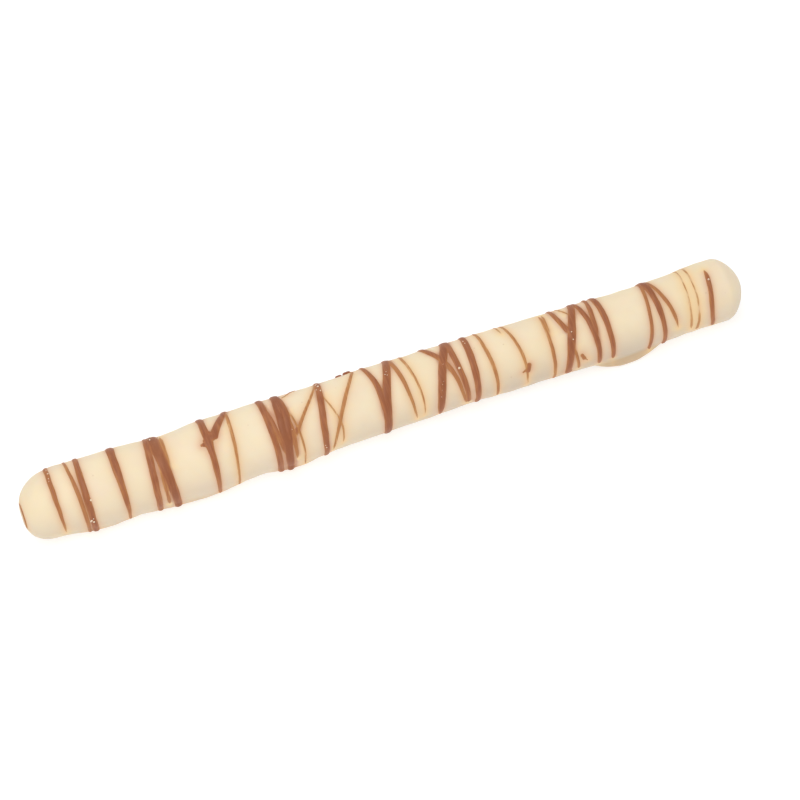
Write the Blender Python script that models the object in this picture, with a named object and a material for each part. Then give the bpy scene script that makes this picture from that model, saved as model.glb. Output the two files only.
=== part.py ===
"""A pretzel rod dipped whole in white chocolate and drizzled across with milk chocolate.

The rod lies along X on the flat foot that its coating set on, as it does on a tray. The rounded
end that took up the most coating is at -X and the blunter end at +X, +Z is up, and the origin is
under the middle of the rod, on the tray. The pretzel inside doesn't show anywhere, so coating and
pretzel are one solid, and the thick strands of the drizzle are fused to it.
"""

import math

import bmesh
import bpy
import numpy as np

MM = 0.001

# Driving dimensions, in millimetres.
LENGTH = 200.0

# The coating sags and gathers along the rod: how far from the rounded end, how thick there, and
# how far the rod bows sideways, + being away from the side that the drizzle faces.
STATIONS = (
    (0, 17.8, -0.4),
    (10, 17.9, 0.9),
    (20, 18.6, 0.0),
    (30, 18.3, 0.0),
    (40, 18.0, -0.6),
    (50, 18.8, -0.4),
    (60, 18.4, 0.1),
    (70, 18.4, -0.3),
    (80, 18.0, 0.0),
    (90, 17.9, 0.5),
    (110, 17.3, 0.8),
    (120, 17.1, 1.0),
    (130, 17.2, 0.8),
    (140, 16.8, 0.6),
    (150, 17.1, 0.2),
    (160, 17.2, 0.0),
    (170, 16.7, 0.1),
    (180, 16.5, 0.8),
    (190, 17.2, 0.8),
    (200, 17.0, 1.2),
)
MEAN_RADIUS = 8.8

# The foot: how deep the rod's underside is flattened where it has its mean thickness, and the
# share of a bulge that goes down into the tray instead of lifting the rod.
FOOT_DEPTH = 0.45
BULGE_BELOW = 0.4

# Both ends are domes: how long, and the power of the curve, 2 being an ellipse.
ROUND_END = (11.0, 2.6)
BLUNT_END = (6.0, 1.6)

# Where wet coating ran down and set as a lip along the tray: its middle, half its length, how far
# it stands out, and on which side, -1 being the front.
LIPS = (
    (20, 9.0, 0.5, -1),
    (43, 14.0, 0.7, -1),
    (70, 7.0, 0.6, -1),
    (164.5, 9.5, 2.1, -1),
    (31, 13.0, 0.9, 1),
    (97, 16.0, 1.3, 1),
    (148, 10.0, 0.7, 1),
    (184, 8.0, 1.0, 1),
)
# How far below the rod's widest line a lip starts, is full, starts to give way and has ended.
LIP_ANGLES = (28.0, 48.0, 70.0, 90.0)

# The drizzle. Angles run round the rod from its front, over the top, to its back. Each strand is
# given where it crosses three lines along the rod: the back shoulder, the face that looks up and
# forward, and the low front. Then come its sway between them, its width and the angle at which it
# ends in front.
FACE = 42.0
STRANDS = (
    (9.3, 9.5, 9.7, 0.0, 1.1, -40),
    (14.2, 15.3, 15.4, 0.1, 0.8, -44),
    (17.3, 16.9, 17.2, 0.0, 1.6, -46),
    (26.2, 26.4, 26.4, 0.1, 1.7, -40),
    (35.6, 34.5, 34.5, 0.0, 1.5, -46),
    (37.0, 37.8, 38.9, 0.0, 2.4, -46),
    (50.4, 50.4, 50.1, 0.0, 1.6, -40),
    (56.7, 50.2, 54.4, 0.0, 1.5, 62),
    (57.3, 56.8, 55.6, 0.0, 0.9, -42),
    (66.5, 67.0, 66.7, -0.2, 1.5, -44),
    (70.4, 69.5, 69.5, -0.2, 2.3, -46),
    (71.8, 71.2, 67.9, 0.3, 1.6, 4),
    (81.4, 73.4, 69.1, 0.0, 0.8, 32),
    (82.2, 80.3, 79.5, -0.1, 1.6, -44),
    (92.9, 85.4, 80.9, 0.0, 0.8, -26),
    (94.6, 96.7, 95.9, 0.0, 1.2, 42),
    (101.7, 97.6, 96.8, -0.1, 1.9, -44),
    (102.1, 103.6, 104.7, -0.2, 1.0, -18),
    (110.4, 117.1, 118.4, -0.7, 1.0, -24),
    (117.8, 113.1, 110.8, 0.0, 1.9, -44),
    (118.1, 118.7, 119.3, 0.0, 1.3, -24),
    (122.6, 122.2, 121.5, 0.2, 1.5, -42),
    (126.2, 127.1, 127.0, 0.2, 0.9, -38),
    (132.8, 135.5, 135.3, 0.0, 0.8, -30),
    (143.6, 143.6, 143.7, 0.0, 0.9, -44),
    (146.4, 150.2, 154.0, 0.0, 1.2, 60),
    (153.8, 148.7, 147.3, 0.5, 1.7, -34),
    (154.3, 155.4, 155.7, 0.0, 1.4, -32),
    (157.5, 155.4, 153.3, 0.0, 1.4, 50),
    (159.3, 159.7, 159.3, 0.1, 1.5, -26),
    (173.4, 171.3, 169.8, 0.3, 1.0, -34),
    (173.9, 174.4, 174.8, 0.0, 1.4, -44),
    (175.0, 177.6, 176.5, 0.8, 0.8, 6),
    (189.8, 188.8, 188.9, -0.5, 1.1, -37),
)
# A sway is how far a strand swings out, halfway between two of its three lines.
SWAY_PEAK = 2.6
STRAND_HEIGHT = 0.34
BACK_DRIFT = 0.35
BACK_END = (196.0, 226.0)
STRAND_STEP = 18.0
TAPER = (0.5, 0.85, 1.0)

RING_SIDES = 32
RING_STEP = 3.4
DOME_RINGS = 5


def smooth_through(places, values, at):
    """A smooth curve through hand-set values: a cubic from each to the next, which leaves each
    place at the mean slope of its two neighbours."""
    places = np.asarray(places, float)
    values = np.asarray(values, float)
    slopes = np.gradient(values, places)
    left = np.clip(np.searchsorted(places, at) - 1, 0, len(places) - 2)
    gap = places[left + 1] - places[left]
    t = np.clip((at - places[left]) / gap, 0, 1)
    step = t * t * (3 - 2 * t)
    bend = t * (1 - t) * ((1 - t) * slopes[left] - t * slopes[left + 1])
    return values[left] + step * (values[left + 1] - values[left]) + gap * bend


def soft_step(value):
    """0 up to 0 and 1 from 1 on, with a smooth rise between."""
    t = np.clip(value, 0, 1)
    return t * t * (3 - 2 * t)


def thickness(place):
    """The radius of the coated rod, away from its ends."""
    places, diameters, _ = zip(*STATIONS)
    return smooth_through(places, diameters, place) / 2


def bow(place):
    """How far the rod's middle lies off the straight line, sideways."""
    places, _, sideways = zip(*STATIONS)
    return smooth_through(places, sideways, place)


def axis_height(place):
    """The height of the rod's middle over the tray."""
    radius = thickness(place)
    return radius - FOOT_DEPTH - BULGE_BELOW * (radius - MEAN_RADIUS)


def dome(distance, end):
    """The share of the full radius at a distance from the tip: 0 at the tip, 1 where it ends."""
    reach, power = end
    inward = np.clip(1 - distance / reach, 0, 1)
    return (1 - inward**power) ** (1 / power)


def lip(place, turn):
    """How far the lips stand out at a place along the rod and an angle round it."""
    start, full, giving_way, end = LIP_ANGLES
    out = 0.0
    for middle, half, reach, side in LIPS:
        below = -turn if side < 0 else turn - math.pi
        below = np.degrees((below + math.pi) % (2 * math.pi) - math.pi)
        swell = np.clip(1 - ((place - middle) / half) ** 2, 0, 1)
        round_rod = soft_step((below - start) / (full - start))
        round_rod = round_rod * soft_step((end - below) / (end - giving_way))
        out = out + reach * swell * round_rod
    return out


def surface(place, turn, lift=0.0):
    """Points of the coating, in metres: a ring round the rod's middle at each place, out by lift,
    and flat where it would go under the tray."""
    ends = dome(place, ROUND_END) * dome(LENGTH - place, BLUNT_END)
    radius = thickness(place) * ends + lip(place, turn) + lift
    across = bow(place) - radius * np.cos(turn)
    up = np.maximum(axis_height(place) + radius * np.sin(turn), 0.0)
    along = place - LENGTH / 2 + np.zeros_like(up)
    return np.stack([along, across, up], axis=-1) * MM


def ring_places():
    """Where the rings lie: close together over the domes, evenly between them."""
    share = 1 - np.cos(np.linspace(0, math.pi / 2, DOME_RINGS + 1))
    first = ROUND_END[0] * share[1:]
    last = LENGTH - BLUNT_END[0] * share[:0:-1]
    count = round((last[0] - first[-1]) / RING_STEP)
    between = np.linspace(first[-1], last[0], count + 1)[1:-1]
    return np.concatenate([first, between, last])


def coating_mesh():
    """The rod as rings of points joined to each other, with a point at each tip."""
    places = ring_places()
    turns = np.arange(RING_SIDES) * 2 * math.pi / RING_SIDES - math.pi / 2
    rings = surface(places[:, None], turns[None, :]).reshape(-1, 3)
    tips = np.array([[-LENGTH / 2, bow(0.0), axis_height(0.0)]]) * MM
    tips = np.append(tips, np.array([[LENGTH / 2, bow(LENGTH), axis_height(LENGTH)]]) * MM, axis=0)
    points = np.concatenate([rings, tips])
    index = np.arange(len(rings)).reshape(len(places), RING_SIDES)
    beside = np.roll(index, -1, axis=1)
    sides = np.stack([index[:-1], index[1:], beside[1:], beside[:-1]], axis=-1).reshape(-1, 4)
    start_tip, end_tip = len(rings), len(rings) + 1
    caps = [(start_tip, a, b) for a, b in zip(index[0], beside[0])]
    caps += [(end_tip, b, a) for a, b in zip(index[-1], beside[-1])]
    mesh = bpy.data.meshes.new("dipped_rod")
    mesh.from_pydata(points.tolist(), [], sides.tolist() + [tuple(map(int, c)) for c in caps])
    return mesh


def strand_points(strand, back_end):
    """The strand's path over the coating and its half width along it, in metres."""
    back, face, low, sway, width, front_end = strand
    count = round((back_end - front_end) / STRAND_STEP) + 1
    turn = np.radians(np.linspace(front_end, back_end, count))
    shoulder = math.radians(FACE + 90)
    over = np.where(
        turn <= shoulder,
        np.sin(math.radians(FACE) - turn),
        -1 - BACK_DRIFT * (1 - np.cos(turn - shoulder)),
    )
    place = face + over * (low - back) / 2 + over**2 * ((low + back) / 2 - face)
    place = place + sway * SWAY_PEAK * over * (1 - over**2)
    height = STRAND_HEIGHT * width
    radius = (width**2 / 4 + height**2) / (2 * height)
    share = np.ones(count)
    share[: len(TAPER)] = TAPER
    share[-len(TAPER) :] = TAPER[::-1]
    return surface(place, turn, height - radius), radius * share * MM


def as_mesh(curve_object):
    """The closed mesh of a curve with filled caps, in the curve's place."""
    graph = bpy.context.evaluated_depsgraph_get()
    mesh = bpy.data.meshes.new_from_object(curve_object.evaluated_get(graph))
    edit = bmesh.new()
    edit.from_mesh(mesh)
    bmesh.ops.remove_doubles(edit, verts=edit.verts, dist=1e-6)
    bmesh.ops.recalc_face_normals(edit, faces=edit.faces)
    edit.to_mesh(mesh)
    edit.free()
    solid = bpy.data.objects.new(curve_object.name + "_solid", mesh)
    solid.matrix_world = curve_object.matrix_world
    bpy.data.objects.remove(curve_object)
    return solid


def make_strand(name, strand, back_end, collection, material):
    """One strand: a round bar sunk into the coating, so that a low rounded ridge shows."""
    points, radii = strand_points(strand, back_end)
    curve = bpy.data.curves.new(name, "CURVE")
    curve.dimensions = "3D"
    curve.bevel_depth = 1.0
    curve.bevel_resolution = 1
    curve.use_fill_caps = True
    line = curve.splines.new("POLY")
    line.points.add(len(points) - 1)
    line.points.foreach_set("co", np.append(points, np.ones((len(points), 1)), axis=1).ravel())
    line.points.foreach_set("radius", radii)
    bar = bpy.data.objects.new(name, curve)
    collection.objects.link(bar)
    bpy.context.view_layer.update()
    solid = as_mesh(bar)
    solid.data.materials.clear()
    solid.data.materials.append(material)
    collection.objects.link(solid)
    return solid


def fuse(body, collection):
    """Join every object of the collection to the body with one union, then remove them."""
    union = body.modifiers.new("drizzle", "BOOLEAN")
    union.operation = "UNION"
    union.operand_type = "COLLECTION"
    union.collection = collection
    union.solver = "EXACT"
    union.material_mode = "TRANSFER"
    graph = bpy.context.evaluated_depsgraph_get()
    fused = bpy.data.meshes.new_from_object(body.evaluated_get(graph))
    body.modifiers.clear()
    body.data = fused
    for other in list(collection.objects):
        bpy.data.objects.remove(other)
    bpy.data.collections.remove(collection)


def keep_outer_skin(mesh):
    """Weld the seams of the union, and drop its loose scraps and the walls of sealed hollows."""
    edit = bmesh.new()
    edit.from_mesh(mesh)
    bmesh.ops.remove_doubles(edit, verts=edit.verts, dist=2e-6)
    bmesh.ops.dissolve_degenerate(edit, edges=edit.edges, dist=2e-6)
    bmesh.ops.triangulate(edit, faces=edit.faces)
    unseen = set(edit.verts)
    groups = []
    while unseen:
        group, edge_of_group = set(), {unseen.pop()}
        while edge_of_group:
            group |= edge_of_group
            near = {e.other_vert(v) for v in edge_of_group for e in v.link_edges}
            edge_of_group = near - group
        unseen -= group
        groups.append(group)
    outer = max(groups, key=len)
    loose = [vert for vert in edit.verts if vert not in outer]
    bmesh.ops.delete(edit, geom=loose, context="VERTS")
    edit.to_mesh(mesh)
    edit.free()


def make_material(name, colour, roughness):
    material = bpy.data.materials.new(name)
    material.use_nodes = True
    shader = material.node_tree.nodes["Principled BSDF"]
    shader.inputs["Base Color"].default_value = (*colour, 1.0)
    shader.inputs["Roughness"].default_value = roughness
    shader.inputs["Metallic"].default_value = 0.0
    return material


def new_collection(name):
    collection = bpy.data.collections.new(name)
    bpy.context.scene.collection.children.link(collection)
    return collection


def build():
    for old in list(bpy.data.objects):
        bpy.data.objects.remove(old)
    parts = new_collection("dipped_pretzel_rod")
    drizzle = new_collection("drizzle_strands")
    white_chocolate = make_material("white_chocolate", (0.86, 0.74, 0.52), 0.42)
    milk_chocolate = make_material("milk_chocolate", (0.32, 0.13, 0.07), 0.35)

    rod = bpy.data.objects.new("dipped_rod", coating_mesh())
    rod.data.materials.append(white_chocolate)
    rod.data.materials.append(milk_chocolate)
    parts.objects.link(rod)

    chance = np.random.default_rng(7)
    for number, strand in enumerate(STRANDS):
        back_end = chance.uniform(*BACK_END)
        make_strand(f"strand_{number:02d}", strand, back_end, drizzle, milk_chocolate)
    fuse(rod, drizzle)
    keep_outer_skin(rod.data)
    rod.data.shade_smooth()
    rod.data.set_sharp_from_angle(angle=math.radians(40))


build()
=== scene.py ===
# %% [markdown]
# # A pretzel rod, dipped and drizzled
#
# The rod is a long baked pretzel stick that was dipped whole into melted white chocolate, laid on
# a tray, and striped with milk chocolate from a moving spoon. Nothing of the pretzel shows, so
# what has to look right is two kinds of chocolate: a thick cream coating with soft lumps and a
# flat foot, and thin brown strands that set where they fell.
#
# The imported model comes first. It fixes the size, so its box is kept to compare with at the end.

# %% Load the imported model
import math

import bpy
import numpy as np
from mathutils import Matrix, Vector


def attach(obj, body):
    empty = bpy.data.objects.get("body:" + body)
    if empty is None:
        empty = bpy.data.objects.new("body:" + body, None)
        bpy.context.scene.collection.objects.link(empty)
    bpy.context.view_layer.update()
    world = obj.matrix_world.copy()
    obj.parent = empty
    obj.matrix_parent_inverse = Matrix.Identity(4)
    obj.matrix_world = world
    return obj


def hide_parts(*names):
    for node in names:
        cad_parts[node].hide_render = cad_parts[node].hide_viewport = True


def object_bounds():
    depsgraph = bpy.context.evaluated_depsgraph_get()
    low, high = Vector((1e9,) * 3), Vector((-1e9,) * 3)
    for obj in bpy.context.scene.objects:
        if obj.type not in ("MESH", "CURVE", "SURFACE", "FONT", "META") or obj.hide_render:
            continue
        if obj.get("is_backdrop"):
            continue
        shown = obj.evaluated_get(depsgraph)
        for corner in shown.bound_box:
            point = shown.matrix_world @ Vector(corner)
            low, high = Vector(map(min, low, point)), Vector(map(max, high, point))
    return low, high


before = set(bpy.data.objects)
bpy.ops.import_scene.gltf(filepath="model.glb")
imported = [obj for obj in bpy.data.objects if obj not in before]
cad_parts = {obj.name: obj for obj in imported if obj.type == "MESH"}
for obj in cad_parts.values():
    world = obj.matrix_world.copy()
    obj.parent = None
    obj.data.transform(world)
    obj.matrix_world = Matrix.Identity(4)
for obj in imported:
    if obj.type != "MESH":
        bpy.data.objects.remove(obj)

MM = 0.001
BODY = "root"
NODE = "dipped_rod"
cad_box = [list(corner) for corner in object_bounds()]
LENGTH = (cad_box[1][0] - cad_box[0][0]) / MM
print("nodes:", sorted(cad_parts), "length in mm:", round(LENGTH, 2))

# %% [markdown]
# ## The camera
#
# A photograph of a small thing that shows nearly parallel edges was taken from well back with a
# long lens. The direction is kept as three angles, round the rod, up from the table and the tilt
# of the picture, because those are what a photographer would change. Blender's camera looks along
# its own -Z with +Y up, so the three unit vectors across, up and back are its matrix.

# %% Camera
LENS = 105.0
CAMERA_DISTANCE = 610.5
AIM = Vector((2.17, -0.83, 7.15))
AROUND, ABOVE, TILT = math.radians(-12.73), math.radians(41.97), math.radians(-9.25)


def camera_axes(around, above, tilt):
    """Across, up and back of a camera that has gone round by around and up by above, then
    tilted: back is the direction from the thing to the camera, and up is back x across."""
    back = Vector((
        math.sin(around) * math.cos(above),
        -math.cos(around) * math.cos(above),
        math.sin(above),
    ))
    level = Vector((math.cos(around), math.sin(around), 0.0))
    upright = back.cross(level)
    across = level * math.cos(tilt) + upright * math.sin(tilt)
    return across, back.cross(across), back


across, upward, back = camera_axes(AROUND, ABOVE, TILT)
camera = bpy.data.objects.new("camera", bpy.data.cameras.new("camera"))
camera.data.lens = LENS
camera.data.clip_start = 0.05
placed = Matrix((across, upward, back)).transposed().to_4x4()
placed.translation = (AIM + back * CAMERA_DISTANCE) * MM
camera.matrix_world = placed
bpy.context.scene.collection.objects.link(camera)
bpy.context.scene.camera = camera
print("camera at", [round(c, 3) for c in placed.translation])

# %% [markdown]
# ## Patterns as sums
#
# A procedural finish is a sum of patterns. Wiring it by hand hides the sum, so a small class
# wraps one output of a node and lets Python's operators add the Math nodes: 1 - mask, or
# 0.4 + 0.1 * grain, read as they would on paper. Every other node comes from one method that
# takes the node's type, its settings and what goes into its sockets. The sky uses it too.

# %% Signals and node trees
class Signal:
    """One output in a node tree, which can be added, multiplied and so on."""

    def __init__(self, tree, socket):
        self.tree = tree
        self.socket = socket

    def joined(self, operation, first, second):
        """A Math node on two signals, or on a signal and a number."""
        return self.tree.node("ShaderNodeMath", {"operation": operation}, {0: first, 1: second})

    def __add__(self, other):
        return self.joined("ADD", self, other)

    def __radd__(self, other):
        return self.joined("ADD", other, self)

    def __sub__(self, other):
        return self.joined("SUBTRACT", self, other)

    def __rsub__(self, other):
        return self.joined("SUBTRACT", other, self)

    def __mul__(self, other):
        return self.joined("MULTIPLY", self, other)

    def __rmul__(self, other):
        return self.joined("MULTIPLY", other, self)

    def step(self, start, end, first=0.0, last=1.0):
        """first up to start, last from end on, and a smooth rise or fall between."""
        settings = {"interpolation_type": "SMOOTHSTEP"}
        sockets = {"Value": self, "From Min": start, "From Max": end}
        sockets |= {"To Min": first, "To Max": last}
        return self.tree.node("ShaderNodeMapRange", settings, sockets)


def set_stops(points, stops):
    """The points of a colour ramp, each a place from 0 to 1 and a colour."""
    while len(points) < len(stops):
        points.new(0.5)
    for point, (position, colour) in zip(points, stops):
        point.position = position
        point.color = colour


class NodeTree:
    """The nodes of a material or of a sky, and the one way to add to them."""

    def __init__(self, owner):
        owner.use_nodes = True
        self.nodes = owner.node_tree.nodes
        self.links = owner.node_tree.links

    def wire(self, sockets, inputs):
        """Link a socket to a signal, or set it to a value."""
        for key, value in inputs.items():
            if isinstance(value, Signal):
                self.links.new(value.socket, sockets[key])
            else:
                sockets[key].default_value = value

    def node(self, kind, settings, inputs, output=0):
        """A new node: its settings first, a ramp's stops among them, then its sockets."""
        made = self.nodes.new(kind)
        for key, value in settings.items():
            if key == "stops":
                set_stops(made.color_ramp.elements, value)
            else:
                setattr(made, key, value)
        self.wire(made.inputs, inputs)
        return Signal(self, made.outputs[output])


print("helpers:", Signal.__name__, NodeTree.__name__)

# %% [markdown]
# ## Light
#
# Sweets for a catalogue are lit from all round with large white sheets, so that nothing is harsh.
# A sky that is brightest overhead gives most of it and leaves the lower side of the rod a little
# darker. One broad lamp high on the left gives the strands a lit side, and weaker ones keep the
# right and the far side clear. The plain view transform is used because a filmic one would turn
# the cream grey.

# %% Studio
HORIZON, OVERHEAD = 0.35, 0.78
SKY_COLOUR = (1.0, 0.995, 0.985, 1.0)
LAMPS = (
    # name, place in mm, edge in mm, power in W
    ("key", (-220.0, -265.0, 580.0), 420.0, 1.6),
    ("fill", (330.0, -260.0, 330.0), 380.0, 0.12),
    ("rim", (60.0, 420.0, 360.0), 380.0, 0.33),
)


def lamp(name, place, edge, power):
    """A square lamp that faces the middle of the rod."""
    light = bpy.data.lights.new(name, "AREA")
    light.size = edge * MM
    light.energy = power
    holder = bpy.data.objects.new(name, light)
    holder.location = Vector(place) * MM
    holder.rotation_euler = (-holder.location).to_track_quat("-Z", "Y").to_euler()
    bpy.context.scene.collection.objects.link(holder)


for row in LAMPS:
    lamp(*row)


def brighter_overhead(tree):
    """Horizon + (overhead - horizon) * height of the direction that is looked in, and no less
    than horizon where that points down."""
    direction = tree.node("ShaderNodeTexCoord", {}, {}, "Generated")
    height = tree.node("ShaderNodeSeparateXYZ", {}, {"Vector": direction}, "Z")
    sockets = {"Value": height, "To Min": HORIZON, "To Max": OVERHEAD}
    return tree.node("ShaderNodeMapRange", {}, sockets)


sky = bpy.data.worlds.new("sky")
sky_tree = NodeTree(sky)
sky_tree.wire(
    sky_tree.nodes["Background"].inputs,
    {"Color": SKY_COLOUR, "Strength": brighter_overhead(sky_tree)},
)
bpy.context.scene.world = sky
bpy.context.scene.view_settings.view_transform = "Standard"
print("lamps:", [row[0] for row in LAMPS])

# %% [markdown]
# ## The shape under both chocolates
#
# The coated rod is round in section almost everywhere, so a point on it needs two numbers: the
# place along the rod from its rounded end, and the turn, the angle from the front over the top to
# the back. The radius swells and thins where the coating gathered, the middle line wanders to the
# side, and the underside is cut flat by the tray. These are the sizes that the solid was built
# from, so the dressed rod keeps its form.

# %% Sizes of the rod
STATIONS = np.array([
    # place, diameter, sideways
    (0, 17.8, -0.4),
    (10, 17.9, 0.9),
    (20, 18.6, 0.0),
    (30, 18.3, 0.0),
    (40, 18.0, -0.6),
    (50, 18.8, -0.4),
    (60, 18.4, 0.1),
    (70, 18.4, -0.3),
    (80, 18.0, 0.0),
    (90, 17.9, 0.5),
    (110, 17.3, 0.8),
    (120, 17.1, 1.0),
    (130, 17.2, 0.8),
    (140, 16.8, 0.6),
    (150, 17.1, 0.2),
    (160, 17.2, 0.0),
    (170, 16.7, 0.1),
    (180, 16.5, 0.8),
    (190, 17.2, 0.8),
    (200, 17.0, 1.2),
])
PLACES, DIAMETERS, SIDEWAYS = STATIONS.T
MEAN_RADIUS = 8.8
FOOT_DEPTH = 0.45
BULGE_BELOW = 0.4
ROUND_END = (11.0, 2.6)
BLUNT_END = (6.0, 1.6)
LIPS = (
    # middle, half length, reach, side
    (20, 9.0, 0.5, -1),
    (43, 14.0, 0.7, -1),
    (70, 7.0, 0.6, -1),
    (164.5, 9.5, 2.1, -1),
    (31, 13.0, 0.9, 1),
    (97, 16.0, 1.3, 1),
    (148, 10.0, 0.7, 1),
    (184, 8.0, 1.0, 1),
)
LIP_ANGLES = (30.0, 45.0, 70.0, 90.0)


def smooth_through(values, at):
    """A cubic from each station to the next, which leaves each at the mean slope of its two
    neighbours: value + (3t^2 - 2t^3) * rise + gap * t(1 - t) * ((1 - t) * slope - t * slope)."""
    slopes = np.gradient(values, PLACES)
    left = np.clip(np.searchsorted(PLACES, at) - 1, 0, len(PLACES) - 2)
    gap = PLACES[left + 1] - PLACES[left]
    t = np.clip((at - PLACES[left]) / gap, 0, 1)
    rise = t * t * (3 - 2 * t) * (values[left + 1] - values[left])
    return values[left] + rise + gap * t * (1 - t) * ((1 - t) * slopes[left] - t * slopes[left + 1])


def soft_step(value):
    """3t^2 - 2t^3 of the value held between 0 and 1."""
    t = np.clip(value, 0, 1)
    return t * t * (3 - 2 * t)


def dome(distance, end):
    """Share of the full radius: (1 - (1 - distance / reach)^power)^(1 / power)."""
    reach, power = end
    return (1 - np.clip(1 - distance / reach, 0, 1) ** power) ** (1 / power)


def ends(place):
    """The share of the full radius that both ends leave: the product of their domes."""
    return dome(place, ROUND_END) * dome(LENGTH - place, BLUNT_END)


def lip(place, turn):
    """Swell along the rod, 1 - ((place - middle) / half)^2, times a rise and a fall below it."""
    start, full, giving_way, end = LIP_ANGLES
    out = 0.0
    for middle, half, reach, side in LIPS:
        below = -turn if side < 0 else turn - math.pi
        below = np.degrees((below + math.pi) % (2 * math.pi) - math.pi)
        swell = np.clip(1 - ((place - middle) / half) ** 2, 0, 1)
        rise = soft_step((below - start) / (full - start))
        out = out + reach * swell * rise * soft_step((end - below) / (end - giving_way))
    return out


print("thickest", DIAMETERS.max(), "mm, thinnest", DIAMETERS.min(), "mm")

# %% [markdown]
# ## Soft lumps
#
# Dipped chocolate is never a true cylinder: it drains in slow sags a few centimetres long and
# sets with faint ripples. Both are sums of cosines with random lengths and whole numbers of lobes
# round the rod, so that the pattern closes on itself where the turn comes round. A fixed seed
# draws the same rod each time. The lumps fade out towards the tips, where lobes would crowd.

# %% Lumps and the skin itself
SAGS = {"seed": 11, "lengths": (14, 46), "lobes": (0, 3), "count": 14, "height": 0.085}
RIPPLES = {"seed": 12, "lengths": (4, 11), "lobes": (2, 8), "count": 22, "height": 0.028}
FOOT_ROUNDING = 0.12


def waves(place, turn, seed, lengths, lobes, count, height):
    """height * sum of cos(2 pi place / length + lobes * turn + phase) / sqrt(count / 2)."""
    chance = np.random.default_rng(seed)
    total = 0.0
    for _ in range(count):
        length = chance.uniform(*lengths)
        around = chance.integers(lobes[0], lobes[1] + 1)
        phase, side = chance.uniform(0, 2 * math.pi), chance.choice([-1, 1])
        total = total + np.cos(2 * math.pi * place / length + side * around * turn + phase)
    return height * total / math.sqrt(count / 2)


def over_tray(value, depth):
    """The value where it is well over 0 and 0 where it is well under, rounded between:
    (v + sqrt(v^2 + depth^2)) / 2, lowered so that it never lifts the foot off the tray."""
    soft = (value + np.sqrt(value**2 + depth**2)) / 2
    return np.maximum(soft - depth**2 / (4 * np.maximum(soft, depth)), 0)


def skin(place, turn):
    """The coating in mm: a ring of the local radius round the rod's middle at each place, with
    its lumps and lips, flat where it would go under the tray."""
    full = smooth_through(DIAMETERS, place) / 2
    height = full - FOOT_DEPTH - BULGE_BELOW * (full - MEAN_RADIUS)
    lumps = waves(place, turn, **SAGS) + waves(place, turn, **RIPPLES)
    radius = (full + lumps) * ends(place) + lip(place, turn)
    sideways = smooth_through(SIDEWAYS, place) - radius * np.cos(turn)
    up = over_tray(height + radius * np.sin(turn), FOOT_ROUNDING)
    return np.stack([place - LENGTH / 2 + 0 * up, sideways, up], axis=-1)


WALK_STEPS = 4000
walk_places = LENGTH * (1 - np.cos(np.linspace(0, math.pi, WALK_STEPS + 1))) / 2
walk_radii = smooth_through(DIAMETERS, walk_places) / 2 * ends(walk_places)
walked = np.append(0, np.cumsum(np.hypot(np.diff(walk_places), np.diff(walk_radii))))


def place_at(walk):
    """The place along the rod after a walk over its skin from the rounded tip: the walk is the
    sum of sqrt(step along^2 + step of the radius^2), read backwards."""
    return np.interp(walk, walked, walk_places)


def walk_to(place):
    """The same sum, from the tip to a place."""
    return np.interp(place, walk_places, walked)


WALK = walked[-1]
print("over the skin from tip to tip:", round(WALK, 1), "mm")

# %% [markdown]
# ## A finish
#
# Each kind of chocolate is one material: a Principled shader with patterns in front of it. The
# patterns it needs are few: soft noise, a blend of two colours, a ramp of several, a number that
# the mesh carries, and a bump. They all read Object coordinates, so they stay where they are in
# the chocolate whichever piece shows it.

# %% Finish
MIX_FIRST, MIX_SECOND, MIX_COLOUR = 6, 7, 2  # where a Mix node keeps its colour sockets


def linear(red, green, blue):
    """A colour as a shader wants it, from the 0 to 255 values that a picture of it holds: share
    / 12.92 where it is dark, and else ((share + 0.055) / 1.055)^2.4."""
    share = np.array([red, green, blue]) / 255
    low, high = share / 12.92, ((share + 0.055) / 1.055) ** 2.4
    return (*np.where(share <= 0.04045, low, high).tolist(), 1.0)


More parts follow.
